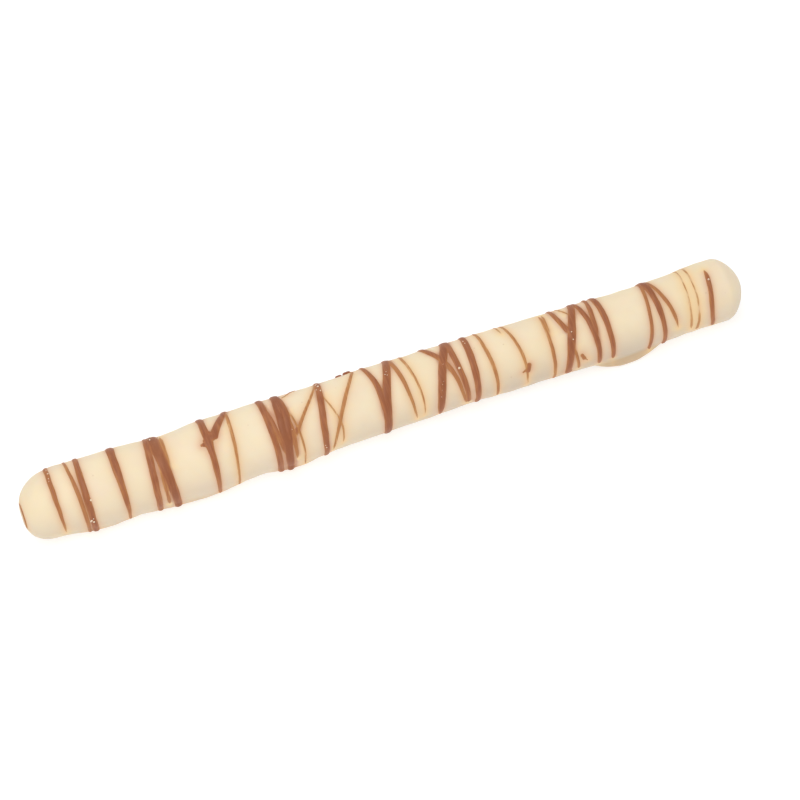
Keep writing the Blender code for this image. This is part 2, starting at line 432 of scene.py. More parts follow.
class Finish(NodeTree):
    """A material with one Principled shader, and the patterns that go in front of it."""

    def __init__(self, name):
        self.material = bpy.data.materials.new(name)
        super().__init__(self.material)
        self.shader = self.nodes["Principled BSDF"]

    def ramp(self, share, stops):
        """A colour that goes through the stops, each a place from 0 to 1 and a colour."""
        return self.node("ShaderNodeValToRGB", {"stops": stops}, {"Fac": share}, "Color")

    def blend(self, share, first, second):
        """first where share is 0 and second where it is 1, for colours."""
        sockets = {0: share, MIX_FIRST: first, MIX_SECOND: second}
        return self.node("ShaderNodeMix", {"data_type": "RGBA"}, sockets, MIX_COLOUR)

    def here(self):
        """Where a point is on the object, in metres."""
        return self.node("ShaderNodeTexCoord", {}, {}, "Object")

    def coordinate(self, axis):
        """One coordinate of that: X is along the rod and Z is over the tray."""
        return self.node("ShaderNodeSeparateXYZ", {}, {"Vector": self.here()}, axis)

    def noise(self, across_mm, detail=2.0, rough=0.5, drawn=1.0):
        """Soft noise from 0 to 1, its lumps about across_mm wide and drawn out round the rod."""
        narrowed = {0: self.here(), 1: (1, 1 / drawn, 1 / drawn)}
        where = self.node("ShaderNodeVectorMath", {"operation": "MULTIPLY"}, narrowed)
        inputs = {"Vector": where, "Scale": 1 / (across_mm * MM)}
        inputs |= {"Detail": detail, "Roughness": rough}
        return self.node("ShaderNodeTexNoise", {}, inputs, "Fac")

    def measured(self, name):
        """A number that the mesh itself carries at each of its points."""
        return self.node("ShaderNodeAttribute", {"attribute_name": name}, {}, "Fac")

    def bump(self, height, depth_mm):
        """A normal that leans as if the surface rose by depth_mm where height is 1."""
        inputs = {"Height": height, "Distance": depth_mm * MM, "Strength": 1.0}
        return self.node("ShaderNodeBump", {}, inputs)

    def set(self, **inputs):
        """What goes into the shader, by the names of its sockets with _ for a space."""
        named = {key.replace("_", " "): value for key, value in inputs.items()}
        self.wire(self.shader.inputs, named)


white = Finish("white_chocolate")
milk = Finish("milk_chocolate")
print("finishes:", white.material.name, milk.material.name)

# %% [markdown]
# ## The coating
#
# One closed skin is enough, because light never reaches the pretzel. The rings are spaced by the
# walk over the skin and not by the place along the rod: on the domes, where the skin turns away,
# equal places would leave long thin faces. A single point closes each tip.

# %% Mesh helpers and the coating
RINGS = 540
ROUND = 176


def grid_faces(index):
    """Quads between neighbours of a grid of point numbers, facing (along x round)."""
    return np.stack([index[:-1, :-1], index[1:, :-1], index[1:, 1:], index[:-1, 1:]], axis=-1)


def capped(rings, tips):
    """Points, quads and triangles of a closed skin: rings of points one after another, and from
    each tip a fan of triangles to the ring beside it."""
    count, around = rings.shape[:2]
    index = np.arange(count * around).reshape(count, around)
    index = np.append(index, index[:, :1], axis=1)
    first, last = np.full(around, count * around), np.full(around, count * around + 1)
    fans = [
        np.stack([first, index[0, :-1], index[0, 1:]], axis=-1),
        np.stack([last, index[-1, 1:], index[-1, :-1]], axis=-1),
    ]
    points = np.concatenate([rings.reshape(-1, 3), tips])
    return points, grid_faces(index).reshape(-1, 4), np.concatenate(fans)


def new_piece(name, points, quads, triangles, finish, slot):
    """A smooth mesh from whole arrays, its points in mm, that rides on the rod's body."""
    mesh = bpy.data.meshes.new(name)
    corners = np.concatenate([quads.ravel(), triangles.ravel()]).astype(np.int32)
    sizes = np.repeat([4, 3], [len(quads), len(triangles)])
    mesh.vertices.add(len(points))
    mesh.loops.add(len(corners))
    mesh.polygons.add(len(sizes))
    mesh.vertices.foreach_set("co", (points * MM).astype(np.float32).ravel())
    mesh.loops.foreach_set("vertex_index", corners)
    mesh.polygons.foreach_set("loop_start", (np.cumsum(sizes) - sizes).astype(np.int32))
    mesh.update(calc_edges=True)
    mesh.shade_smooth()
    mesh.materials.append(finish.material)
    piece = bpy.data.objects.new(name, mesh)
    bpy.context.scene.collection.objects.link(piece)
    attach(piece, BODY)
    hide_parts(NODE)
    size = points.max(axis=0) - points.min(axis=0)
    print(f"{name}: {len(quads) * 2 + len(triangles)} triangles, {np.round(size, 1)} mm")
    return piece


def carry(piece, name, values):
    """Give each point of the piece a number that its material can read."""
    layer = piece.data.attributes.new(name, "FLOAT", "POINT")
    layer.data.foreach_set("value", values.astype(np.float32).ravel())


ring_walks = np.linspace(0, WALK, RINGS + 2)[1:-1]
ring_places = place_at(ring_walks)
ring_turns = np.arange(ROUND) * 2 * math.pi / ROUND - math.pi / 2
rings = skin(ring_places[:, None], ring_turns[None, :])
tips = np.array([rings[0].mean(axis=0), rings[-1].mean(axis=0)])
tips[:, 0] = -LENGTH / 2, LENGTH / 2
coating = new_piece("coating", *capped(rings, tips), white, "white_chocolate")
pooled = lip(ring_places[:, None], ring_turns[None, :])
carry(coating, "pooled", np.append(pooled.ravel(), [0, 0]))

# %% [markdown]
# ## The drizzle as a height over the skin
#
# A strand could be a tube along a path, but where strands cross, tubes cut through each other and
# leave a hard line, while soft chocolate runs together. So the drizzle is a height over the skin
# instead: each strand adds a low ridge, and where ridges meet, a soft maximum melts them into one.
# Only the part that stands over the skin is kept, and it is closed underneath inside the coating.
#
# A strand crosses the rod. It is given by its place where it crosses three lines: the back
# shoulder at a turn of 132 degrees, the face turned to the light at 42 and the low front at -48,
# because between them its place is close to a parabola in the sine of the angle, which is how far
# across the rod it has gone. Some strands sway to one side of that parabola and back.

# %% Strands
STRANDS = {
    # group: (place at the back, the face, the low front), sway, (width at the same three),
    #        (turn of the front end, its taper), (turn of the back end, its taper), height
    #        against the usual for its width
    "round_end": [
        ((0.4, 0.55, 0.4), 0, (0.8, 1.0, 0.95), (-27, 2.5), (124, 3.0), 0.75),
    ],
    "second": [
        ((9.2, 9.38, 9.63), 0, (1.18, 1.15, 0.4), (-27, 3.5), (208, 2.0), 0.95),
        ((14.1, 15.17, 15.38), -0.05, (0.75, 1.05, 0.93), (-50, 1.0), (196, 2.0), 0.9),
        ((17.05, 16.87, 16.98), -0.03, (1.35, 1.75, 1.62), (-50, 1.0), (218, 2.0), 1.0),
        ((26.2, 26.2, 26.15), 0.08, (2.1, 1.75, 0.75), (-47, 2.0), (204, 3.0), 0.95),
    ],
    "pair": [
        ((35.55, 34.58, 34.1), 0, (1.5, 1.75, 1.45), (-50, 1.0), (213, 2.0), 1.0),
        ((37.1, 37.9, 38.8), 0, (3.0, 2.65, 1.95), (-50, 1.0), (221, 3.0), 1.0),
        ((36.3, 36.55, 36.65), 0, (0.6, 0.85, 0.95), (-29, 2.5), (58, 5.0), 0.9),
        ((39.2, 39.15, 39.2), 0, (1.0, 0.9, 0.4), (44, 4.0), (118, 3.0), 0.55),
    ],
    "hook": [
        ((50.2, 50.33, 49.97), 0, (1.93, 1.72, 1.05), (-46, 2.0), (210, 2.0), 1.0),
        ((57.0, 50.35, 54.4), 0, (1.8, 2.4, 2.0), (62, 1.0), (150, 2.0), 0.95),
        ((57.2, 56.4, 55.3), 0, (0.85, 0.85, 0.65), (-46, 1.5), (199, 2.0), 0.65),
    ],
    "tangle": [
        ((66.35, 66.55, 66.7), 0, (1.85, 1.6, 1.6), (-50, 1.0), (215, 2.0), 1.0),
        ((66.7, 67.8, 68.55), 0, (1.0, 1.05, 1.1), (4, 3.0), (96, 5.0), 1.2),
        ((70.3, 69.4, 69.35), 0, (1.9, 2.1, 1.9), (-50, 1.0), (222, 2.0), 1.15),
        ((70.75, 70.65, 69.6), -0.5, (1.7, 1.9, 1.5), (-47, 1.0), (206, 2.0), 1.15),
        ((72.0, 71.65, 71.1), 0, (0.6, 1.25, 0.6), (-14, 2.5), (64, 4.0), 0.8),
        ((70.2, 73.2, 73.2), -0.1, (0.45, 0.6, 0.45), (-42, 2.0), (76, 3.0), 0.8),
        ((81.8, 73.6, 69.0), -0.13, (0.6, 0.9, 0.85), (27, 2.0), (190, 3.0), 0.8),
        ((82.2, 80.2, 79.25), -0.05, (1.5, 1.8, 1.45), (-50, 1.0), (209, 2.0), 1.0),
        ((81.7, 83.85, 82.95), 0.74, (0.3, 0.48, 0.52), (-15, 2.5), (86, 3.0), 0.8),
        ((92.1, 85.35, 80.7), 0.15, (0.85, 1.0, 0.48), (-28, 2.5), (180, 3.0), 0.65),
        ((94.75, 96.55, 96.0), -0.2, (1.15, 1.8, 1.7), (10, 3.0), (202, 2.0), 1.0),
        ((101.35, 97.8, 96.45), 0, (1.95, 2.3, 2.15), (-50, 1.0), (224, 2.0), 1.0),
        ((102.0, 103.55, 104.65), -0.13, (1.25, 0.98, 0.43), (-24, 3.0), (205, 2.0), 0.75),
    ],
    "fan": [
        ((105.25, 106.65, 106.4), 0.19, (0.8, 0.62, 0.32), (-21, 3.0), (192, 3.0), 0.55),
        ((111.45, 116.65, 118.5), -0.55, (1.8, 1.2, 0.72), (-26, 2.5), (216, 2.0), 0.85),
        ((117.5, 113.1, 110.87), 0.13, (2.2, 2.25, 1.85), (-42, 6.0), (219, 2.0), 1.0),
        ((118.0, 118.45, 118.95), 0.15, (1.65, 1.52, 1.2), (-25, 1.2), (207, 2.0), 1.0),
        ((122.6, 122.1, 121.55), 0.08, (1.65, 1.85, 1.5), (-47, 1.5), (211, 2.0), 1.0),
        ((126.1, 127.0, 127.0), 0.15, (0.8, 1.0, 0.72), (-40, 2.5), (200, 2.0), 0.65),
        ((131.8, 133.5, 135.2), 0, (0.45, 0.42, 0.4), (90, 2.0), (176, 3.0), 0.9),
        ((133.35, 135.3, 135.3), 0, (0.75, 0.85, 0.48), (-31, 2.0), (138, 1.5), 0.6),
    ],
    "bundle": [
        ((143.85, 143.45, 143.1), 0.05, (0.6, 0.95, 0.85), (-48, 1.5), (120, 3.0), 0.75),
        ((144.65, 143.45, 142.3), 0, (0.6, 0.6, 0.6), (60, 2.0), (119, 3.0), 0.8),
        ((147.15, 150.05, 157.4), 0, (1.2, 1.75, 2.3), (52, 1.0), (188, 2.0), 0.95),
        ((149.1, 156.2, 163.3), 0, (0.5, 0.55, 0.5), (86, 2.0), (170, 3.0), 0.85),
        ((153.0, 149.0, 146.6), 0.1, (1.7, 2.2, 1.6), (-36, 1.2), (220, 2.0), 1.0),
        ((147.1, 148.75, 149.75), 0, (0.5, 0.75, 0.8), (-26, 1.2), (30, 2.5), 0.9),
        ((153.85, 155.35, 155.55), 0, (1.18, 1.46, 1.18), (-34, 2.0), (206, 2.0), 1.2),
        ((157.05, 155.85, 155.1), 0.05, (1.0, 1.45, 1.35), (24, 4.0), (214, 2.0), 1.05),
        ((159.2, 159.45, 159.38), 0.03, (1.67, 1.55, 1.1), (-28, 2.0), (203, 2.0), 1.06),
    ],
    "blunt_end": [
        ((172.65, 171.25, 170.0), 0.15, (1.02, 0.97, 1.2), (-37, 0.8), (211, 2.0), 1.0),
        ((173.45, 174.3, 174.58), 0, (1.97, 1.52, 1.25), (-48, 0.8), (217, 2.0), 1.1),
        ((174.55, 177.3, 178.6), 0.03, (0.9, 1.06, 0.65), (-6, 5.0), (152, 2.0), 0.9),
        ((183.4, 182.65, 182.25), 0, (0.5, 0.46, 1.05), (-22, 2.0), (190, 3.0), 0.26),
        ((185.5, 185.05, 184.05), 0.05, (0.55, 0.44, 0.95), (-34, 1.0), (195, 3.0), 0.4),
        ((189.75, 188.9, 188.8), -0.45, (1.05, 1.3, 1.1), (-39, 1.2), (91, 3.0), 1.0),
    ],
}
print(sum(len(group) for group in STRANDS.values()), "strands in", len(STRANDS), "groups")

# %% [markdown]
# ## Blobs, spikes and smears
#
# Where the stream stopped or turned it left more than a strand: a blob at a corner, a short spike
# pulled off sideways, a dab that touched and let go. Each is a short stroke between two points of
# the skin, wider at one end, with its own height.

# %% Dabs
DABS = {
    # place and turn at one end, the same at the other, width at each end, height
    "hook": [
        (51.2, 70, 52.45, 68, 1.9, 1.5, 0.30),
        (50.2, 61, 48.45, 61.5, 2.1, 0.7, 0.26),
        (50.2, 66, 49.5, 67, 1.5, 1.0, 0.28),
        (51.3, 79, 51.5, 76, 0.6, 0.9, 0.28),
        (50.35, 60, 50.3, 48, 2.3, 1.6, 0.30),
    ],
    "tangle": [
        (72.2, 109, 73.5, 115, 0.3, 0.45, 0.12),
        (73.5, 115, 74.7, 123, 0.45, 0.4, 0.14),
        (74.7, 123, 76.4, 133, 0.4, 0.5, 0.18),
        (88.1, 131, 88.9, 133, 1.1, 1.3, 0.46),
        (90.2, 131, 91.3, 133, 1.1, 1.6, 0.58),
        (72.95, 41, 72.2, 35, 0.8, 1.0, 0.22),
    ],
    "fan": [
        (136.3, 19, 135.8, 9, 1.3, 1.3, 0.24),
        (135.7, 12, 134.4, 8, 1.1, 0.4, 0.18),
    ],
    "bundle": [
        (150.7, 8, 151.2, 0, 0.95, 1.1, 0.2),
        (151.3, 0, 152.1, -7, 0.6, 0.3, 0.08),
        (146.85, -23, 147.15, -27, 1.7, 1.8, 0.26),
    ],
}
print(sum(len(group) for group in DABS.values()), "dabs")

# %% [markdown]
# ## The height of one strand
#
# Across its width a strand of set chocolate is a low loaf, flatter on top than a circle and steep
# at its edge: height * (1 - |distance / half width|^2.6). The formula goes on falling outside the
# strand, so its zero line, the edge that shows, stays sharp on any grid. A wider strand is higher,
# but not in proportion, because it spreads: height = TALLEST * tanh(SPREAD * width). Slow random
# waves along it keep it from looking ruled.

# %% Heights
FACE = 42.0
SHOULDER_TURN = math.radians(FACE + 90)
SWAY_PEAK = 2.6       # makes a sway of 1 about 1 mm, since over * (1 - over^2) peaks near 1 / 2.6
BACK_DRIFT = 0.35
LOAF = 2.6
FAR_OUT = 40.0        # in half widths, past which the loaf falls no lower
TALLEST, SPREAD = 0.40, 0.56
NARROWEST = 0.2       # of a strand, in mm
TIP_HALF = 0.02       # half its width where it runs out
WANDER, SWELL = 0.025, 0.03
FIRST_SEED = 100


def wobble(turn, chance, lobes=(3, 12), count=5):
    """Slow waves along a strand, from about -1 to 1: sum of sin(lobes * turn + phase), over the
    root of how many there are."""
    total = 0.0
    for _ in range(count):
        total = total + np.sin(chance.uniform(*lobes) * turn + chance.uniform(0, 2 * math.pi))
    return total / math.sqrt(count)


def between(three, over):
    """The parabola through three values at -1, 0 and 1."""
    at_back, at_face, at_low = three
    return at_face + over * (at_low - at_back) / 2 + over**2 * ((at_low + at_back) / 2 - at_face)


def loaf(distance, half, height):
    """height * (1 - |distance / half width|^2.6)."""
    return height * (1 - np.minimum(np.abs(distance) / half, FAR_OUT) ** LOAF)


def across_rod(turn):
    """How far across the rod a turn lies: sin(FACE - turn), 1 at the low front and -1 at the
    shoulder. Behind it a strand drifts on by a part of 1 - cos of the turn past the shoulder."""
    past = -1 - BACK_DRIFT * (1 - np.cos(turn - SHOULDER_TURN))
    return np.where(turn <= SHOULDER_TURN, np.sin(math.radians(FACE) - turn), past)


def strand_parts(strand, walk, turn, chance):
    """Four numbers at each point: how far it is from the middle of the strand, square to it, the
    half width and the height there, and how far it lies beyond the strand's ends. The place is
    the parabola plus sway * over * (1 - over^2), and towards an end the width falls off as
    1 - (1 - share)^2, share being the distance from that end over its taper."""
    places, sway, widths, (front, front_taper), (rear, rear_taper), tallness = strand
    over = across_rod(turn)
    place = between(places, over) + sway * SWAY_PEAK * over * (1 - over**2)
    middle = walk_to(place) + WANDER * wobble(turn, chance)
    slope = np.gradient(middle[0], turn[0]) / MEAN_RADIUS
    radius = smooth_through(DIAMETERS, place_at(middle)) / 2 * ends(place_at(middle))
    from_front = (turn - math.radians(front)) * radius
    from_rear = (math.radians(rear) - turn) * radius
    share = np.clip(np.minimum(from_front / front_taper, from_rear / rear_taper), 0, 1)
    share = 1 - (1 - share) ** 2
    width = np.maximum(between(widths, np.maximum(over, -1)), NARROWEST)
    width = width * (1 + SWELL * wobble(turn, chance))
    half = np.maximum(width * share / 2, TIP_HALF)
    height = TALLEST * np.tanh(SPREAD * 2 * half) * tallness * (1 + SWELL * wobble(turn, chance))
    beyond = np.maximum(-np.minimum(from_front, from_rear), 0)
    return (walk - middle) / np.hypot(1, slope), half, height, beyond


def dab_parts(dab, walk, turn):
    """The same for a dab: distance from the nearest point of the line between its two ends, and
    the half width at that point."""
    place_a, turn_a, place_b, turn_b, width_a, width_b, height = dab
    start = np.array([walk_to(place_a), math.radians(turn_a) * MEAN_RADIUS])
    run = np.array([walk_to(place_b), math.radians(turn_b) * MEAN_RADIUS]) - start
    away = np.stack([walk - start[0] + 0 * turn, turn * MEAN_RADIUS - start[1] + 0 * walk], axis=-1)
    share = np.clip(away @ run / (run @ run), 0, 1)
    distance = np.linalg.norm(away - share[..., None] * run, axis=-1)
    half = (width_a + share * (width_b - width_a)) / 2
    return distance, half, height, 0.0


def group_parts(group, number, walk, turn):
    """The parts of every strand of a group, then of every dab."""
    chance = np.random.default_rng(FIRST_SEED + number)
    parts = [strand_parts(strand, walk, turn, chance) for strand in STRANDS[group]]
    return parts + [dab_parts(dab, walk, turn) for dab in DABS.get(group, [])]


print("a strand 1.5 mm wide stands", round(TALLEST * math.tanh(SPREAD * 1.5), 2), "mm high")

# %% [markdown]
# ## Melting strands together
#
# Where two strands cross, the higher one wins, but a plain maximum leaves a crease. A soft maximum
# rounds it, the way wet chocolate flows into the corner: every part weighs exp(height / MELT), and
# MELT * log of the sum of those weights is the height of all. The same weights also say which
# strand a point belongs to, and so how tall the middle of it stands. Away from every strand the
# height stops at a little under the skin.

# %% Soft maximum
MELT = 0.05
SUNK = -0.12
FAR_BELOW = -3.0      # no part counts lower, because a sum of weights that is 0 has no log


def drizzle(parts):
    """Height of a group over the skin, MELT * log(sum of exp(height / MELT)), and the mean over
    those weights of how tall the middle of each strand is."""
    total, held = 0.0, 0.0
    for distance, half, height, beyond in parts:
        low = np.maximum(loaf(distance, half, height) - beyond, FAR_BELOW)
        weight = np.exp(low / MELT)
        total = total + weight
        held = held + weight * height
    return np.maximum(MELT * np.log(total), SUNK), held / total


two_ridges = [(np.zeros(1), 0.75, 0.3, 0.0)] * 2
print("two strands 0.3 mm high melt into", drizzle(two_ridges)[0].round(3)[0], "mm")

# %% [markdown]
# ## From heights to solid chocolate
#
# Each group of strands that touch is cut out of its own grid over the skin, fine enough that a
# thread is four cells wide. The grid needs to know how far the group reaches and which way is out
# at each point, which is square to the skin's slopes along and round.

# %% The grid of a group
STEP_ALONG = 0.1
STEP_ROUND = math.radians(1.4)
FIRST_TURN, LAST_TURN = math.radians(-56), math.radians(230)
MARGIN = 1.6
BEHIND = 0.42         # how far it drifts on behind the shoulder, in steps from face to shoulder
TIP_GAP = 0.4
NORMAL_REACH = 0.02
NORMAL_TURN = NORMAL_REACH / 9


def normals(walk, turn):
    """Across the skin: the cross product of its slopes along and round."""
    ahead, behind = place_at(walk + NORMAL_REACH), place_at(walk - NORMAL_REACH)
    along = skin(ahead, turn) - skin(behind, turn)
    place = place_at(walk)
    turning = skin(place, turn + NORMAL_TURN) - skin(place, turn - NORMAL_TURN)
    across_skin = np.cross(along, turning)
    return across_skin / np.linalg.norm(across_skin, axis=-1, keepdims=True)


def group_reach(group):
    """From where to where along the skin a group lies, with a margin and the drift behind the
    shoulder, and clear of both tips."""
    places = [place for strand in STRANDS[group] for place in strand[0]]
    places += [dab[end] for dab in DABS.get(group, []) for end in (0, 2)]
    spread = BEHIND * max(abs(strand[0][0] - strand[0][1]) for strand in STRANDS[group])
    low, high = walk_to(min(places)), walk_to(max(places))
    return max(low - MARGIN - spread, TIP_GAP), min(high + MARGIN + spread, WALK - TIP_GAP)


print("the tangle's grid runs from", [round(float(end), 1) for end in group_reach("tangle")], "mm")

# %% [markdown]
# ## The pieces of drizzle
#
# A piece's top is the skin pushed out along its normal by the height. Its underside lies inside the
# coating and shares the points of the rim with the top, so that the piece is closed without a wall.
# Slivers only one cell wide are left out, and no cut through a quad joins two points of the rim,
# because there the top and the underside would lie flat on each other.

# %% Drizzle pieces
UNDER = -0.26
KEPT_OVER = SUNK / 3  # a cell with a corner higher than this is part of the piece
EDGE_SHARE = 0.5


def of_four(flags, join):
    """The flags of every four neighbours in a grid, joined by and or by or: from points to the
    cells between them, or from cells to the points between them."""
    return join.reduce([flags[:-1, :-1], flags[1:, :-1], flags[1:, 1:], flags[:-1, 1:]])


def halves(quads, rim):
    """Two triangles for each quad, cut from its first corner to its third, or from its second to
    its fourth where that would join two points of the rim."""
    turned = rim[quads[:, 0]] & rim[quads[:, 2]]
    quads = np.where(turned[:, None], np.roll(quads, 1, axis=1), quads)
    return np.concatenate([quads[:, [0, 1, 2]], quads[:, [0, 2, 3]]])


def drizzle_piece(group, number):
    """The top is skin + normal * height and the underside skin + normal * UNDER. Each point also
    carries how thick the chocolate looks there, the mean of its own height and the middle's."""
    low, high = group_reach(group)
    walk = np.arange(low, high, STEP_ALONG)[:, None]
    turn = np.arange(FIRST_TURN, LAST_TURN, STEP_ROUND)[None, :]
    lift, middle = drizzle(group_parts(group, number, walk, turn))
    cell = of_four(lift > KEPT_OVER, np.logical_or)
    inner = of_four(np.pad(cell, 1), np.logical_and)
    cell = of_four(inner, np.logical_or)
    used = of_four(np.pad(cell, 1), np.logical_or)
    base = skin(place_at(walk), turn)
    out = normals(walk, turn)
    top = (base + out * lift[..., None])[used]
    under = (base + out * UNDER)[inner]
    top_index = np.full(lift.shape, -1)
    top_index[used] = np.arange(len(top))
    under_index = top_index.copy()
    under_index[inner] = len(top) + np.arange(len(under))
    quads = np.concatenate([grid_faces(top_index)[cell], grid_faces(under_index)[cell][:, ::-1]])
    rim = np.append(~inner[used], np.zeros(len(under), bool))
    piece = new_piece(
        "drizzle_" + group,
        np.concatenate([top, under]),
        np.zeros((0, 4), int),
        halves(quads, rim),
        milk,
        "milk_chocolate",
    )
    held = EDGE_SHARE * np.maximum(lift, 0) + (1 - EDGE_SHARE) * middle
    carry(piece, "thickness", np.concatenate([held[used], np.zeros(len(under))]))


for number, group in enumerate(STRANDS):
    drizzle_piece(group, number)

# %% [markdown]
# ## Where the coating took up colour
#
# Next to a strand the white chocolate is a little warmer, because the warm milk chocolate bled
# into it: rosy beside a thick strand and honey yellow beside a fine one, whose edge is thin enough
# to see through. In the gap between two thick strands it is warmest. The coating carries its
# nearness to the drizzle, how fine the strands there are and how far it is crowded by several,
# all worked out from the same parts, so its material can tint that margin.

# %% Nearness of the drizzle
BLEED, FINE_BLEED = 0.72, 1.2
NOT_FINE = 0.22
LITTLE = 1e-9         # keeps the ratio below from dividing by 0


def bled(parts, strands):
    """With closeness = exp(-outside / bleed) for each part: the product of 1 - closeness, which
    is the share of clean coating left, the sum of closeness over the strands, and the sums of
    closeness^3 and of closeness^3 * fineness."""
    clean, together, weights, slims = 1.0, 0.0, 0.0, 0.0
    for number, (distance, half, height, beyond) in enumerate(parts):
        slim = np.clip(1 - height / NOT_FINE, 0, 1)
        outside = np.maximum(np.abs(distance) - half + beyond, 0)
        closeness = np.exp(-outside / (BLEED + (FINE_BLEED - BLEED) * slim))
        clean = clean * (1 - closeness)
        together = together + closeness * (number < strands)
        weights = weights + closeness**3
        slims = slims + closeness**3 * slim
    return clean, together, weights, slims


def margins(walk, turn):
    """Over every group: nearness = 1 - clean, fineness = its sum over the sum of the weights,
    and crowding = how far the closeness adds up to more than nearness, for thick strands."""
    clean, together, weights, slims = 1.0, 0.0, LITTLE, 0.0
    for number, group in enumerate(STRANDS):
        parts = group_parts(group, number, walk, turn)
        left, closeness, weight, slim = bled(parts, len(STRANDS[group]))
        clean, together = clean * left, together + closeness
        weights, slims = weights + weight, slims + slim
    near, fineness = 1 - clean, slims / weights
    return near, fineness, np.clip(together - near, 0, 1) * (1 - fineness)


near, fineness, crowded = margins(ring_walks[:, None], ring_turns[None, :])
for name, values in (("near", near), ("fine", fineness), ("crowded", crowded)):
    carry(coating, name + "_drizzle", np.append(values.ravel(), [0, 0]))
print("share of the coating beside or under a strand:", round(float((near > 0.5).mean()), 2))

# %% [markdown]
# ## White chocolate
#
# White chocolate is cream, not white, and it isn't one cream: it is faintly yellow where it is
# thick and faintly pink where it is thin. Low on the side the colour is painted shade: it is
# blended to a darker grey, more so towards the blunt end, and to a warm brownish shade on the lip
# where it pooled. Each of these is a blend over the last.

# %% Colours of the white chocolate
CREAM = linear(248, 231, 201)
BUTTER = linear(244, 226, 191)
SHELL = linear(241, 221, 200)
SHADED = linear(201, 185, 167)
LIP_SHADE_TAN = linear(196, 165, 128)

body_tone = white.noise(26, detail=2).step(0.35, 0.68)
blush = white.noise(11, detail=3, rough=0.55).step(0.45, 0.75)
cream = white.blend(body_tone * 0.75, CREAM, BUTTER)
cream = white.blend(blush * 0.5, cream, SHELL)
fine_mottle = white.noise(1.6, detail=3, rough=0.6).step(0.3, 0.75)
cream = white.blend(fine_mottle * 0.18, cream, BUTTER)
# Painted shade: low on the rod, more so towards the blunt end, the cream is blended to a darker
# grey, and to a warm brownish shade on the lip.
low_down = white.coordinate("Z").step(14.8 * MM, 4.5 * MM)
shade_along = white.coordinate("X").step(-20 * MM, 45 * MM, 0.45, 0.78)
shade_along = shade_along * white.coordinate("X").step(60 * MM, 85 * MM, 1.0, 0.66)
painted_shade = white.blend(white.measured("pooled").step(0.05, 0.6), SHADED, LIP_SHADE_TAN)
cream = white.blend(low_down * shade_along, cream, painted_shade)
print("cream after its clouds and its dull side:", len(white.nodes), "nodes")

# %% [markdown]
# ## The margins in the white chocolate
#
# The numbers that the coating carries now choose its colour: the nearer the drizzle, the more of
# the margin's colour, which goes from rosy to honey with the fineness of the strands. Where thick
# strands crowd, brown shows through the little cream between them.

# %% Where the drizzle coloured it
ROSY = linear(228, 178, 140)
HONEY = linear(249, 211, 150)
GAP = linear(200, 144, 112)

margin = white.blend(white.measured("fine_drizzle"), ROSY, HONEY)
cream = white.blend(white.measured("near_drizzle") * 0.85, cream, margin)
cream = white.blend(white.measured("crowded_drizzle").step(0.05, 0.6) * 0.8, cream, GAP)
print("cream after its margins:", len(white.nodes), "nodes")

# %% [markdown]
# ## How white chocolate shines
#
# It sets satin, with a few pinholes where a bubble burst, soft dimples and a very fine grain
# that only shows where a lamp glances off. Pinholes are the spots near the middle of a Voronoi
# cell, and slow noise keeps them to a few places; the bump dents them and their colour is darkened
# with painted shade, the shade that would fall into each hole. Light goes a little way in, further
# for red than for blue, which softens every shadow, so the shader scatters under its surface.

# %% Pinholes, grain and shine
PINHOLE_SHADE = linear(206, 168, 130)
PINHOLES_APART = 3.4
RELIEF_DEPTH = 0.05

grain = white.noise(0.35, detail=3, rough=0.6)
dimples = white.noise(2.4, detail=2)
from_middle = white.node(
    "ShaderNodeTexVoronoi",
    {"feature": "F1"},
    {"Vector": white.here(), "Scale": 1 / (PINHOLES_APART * MM), "Randomness": 1.0},
    "Distance",
)
few_places = white.noise(7).step(0.5, 0.62)
pinholes = (1 - from_middle.step(0.03, 0.085)) * few_places
# Painted shade: the colour darkens inside each pinhole.
cream = white.blend(pinholes * 0.45, cream, PINHOLE_SHADE)
relief = dimples * 0.5 + grain * 0.12 + (1 - pinholes) * 0.55
white.set(
    Base_Color=cream,
    Roughness=0.44 + grain * 0.12 + dimples * 0.06,
    Normal=white.bump(relief, RELIEF_DEPTH),
    Subsurface_Weight=0.35,
    Subsurface_Scale=1.6 * MM,
    Subsurface_Radius=(1.0, 0.72, 0.42),
    Specular_IOR_Level=0.42,
)
print("white chocolate:", len(white.nodes), "nodes")

# %% [markdown]
# ## Milk chocolate
#
# A thick strand is a reddish milk brown. Where it thins, towards its edges and in the finest
# strands, the cream shows through and turns it caramel, then amber. The mesh knows how thick it is
# at each point, so one colour ramp over that thickness gives all three. Fine streaks drawn out
# round the rod, the way the spoon moved, shift the shade a little and leave faint grooves, and a
# paler bloom lies over some of it.

# %% Milk chocolate finish
THICK = 0.36
BLOOM = linear(184, 124, 80)
GROOVE_DEPTH = 0.06

streaks = milk.noise(0.45, detail=2, drawn=9) - 0.5
shade = milk.measured("thickness") * (1 / THICK) + milk.noise(2.2, detail=3) * 0.16 - 0.08
shade = shade + streaks * 0.9
brown = milk.ramp(shade, (
    (0.0, linear(232, 196, 152)),
    (0.08, linear(214, 164, 112)),
    (0.17, linear(202, 145, 90)),
    (0.29, linear(190, 132, 79)),
    (0.42, linear(184, 123, 74)),
    (0.67, linear(172, 108, 68)),
    (0.83, linear(161, 98, 62)),
    (1.0, linear(151, 89, 55)),
))
bloom = milk.noise(5.0, detail=3).step(0.5, 0.8)
brown = milk.blend(bloom * 0.16, brown, BLOOM)
set_grain = milk.noise(0.28, detail=3, rough=0.65)
grooves = milk.noise(0.9, detail=2) + streaks * 0.8
milk.set(
    Base_Color=brown,
    Roughness=0.40 + set_grain * 0.16,
    Normal=milk.bump(set_grain * 0.35 + grooves * 0.65, GROOVE_DEPTH),
    Subsurface_Weight=0.08,
    Subsurface_Scale=0.6 * MM,
    Subsurface_Radius=(1.0, 0.5, 0.3),
    Specular_IOR_Level=0.34,
)
print("milk chocolate:", len(milk.nodes), "nodes")
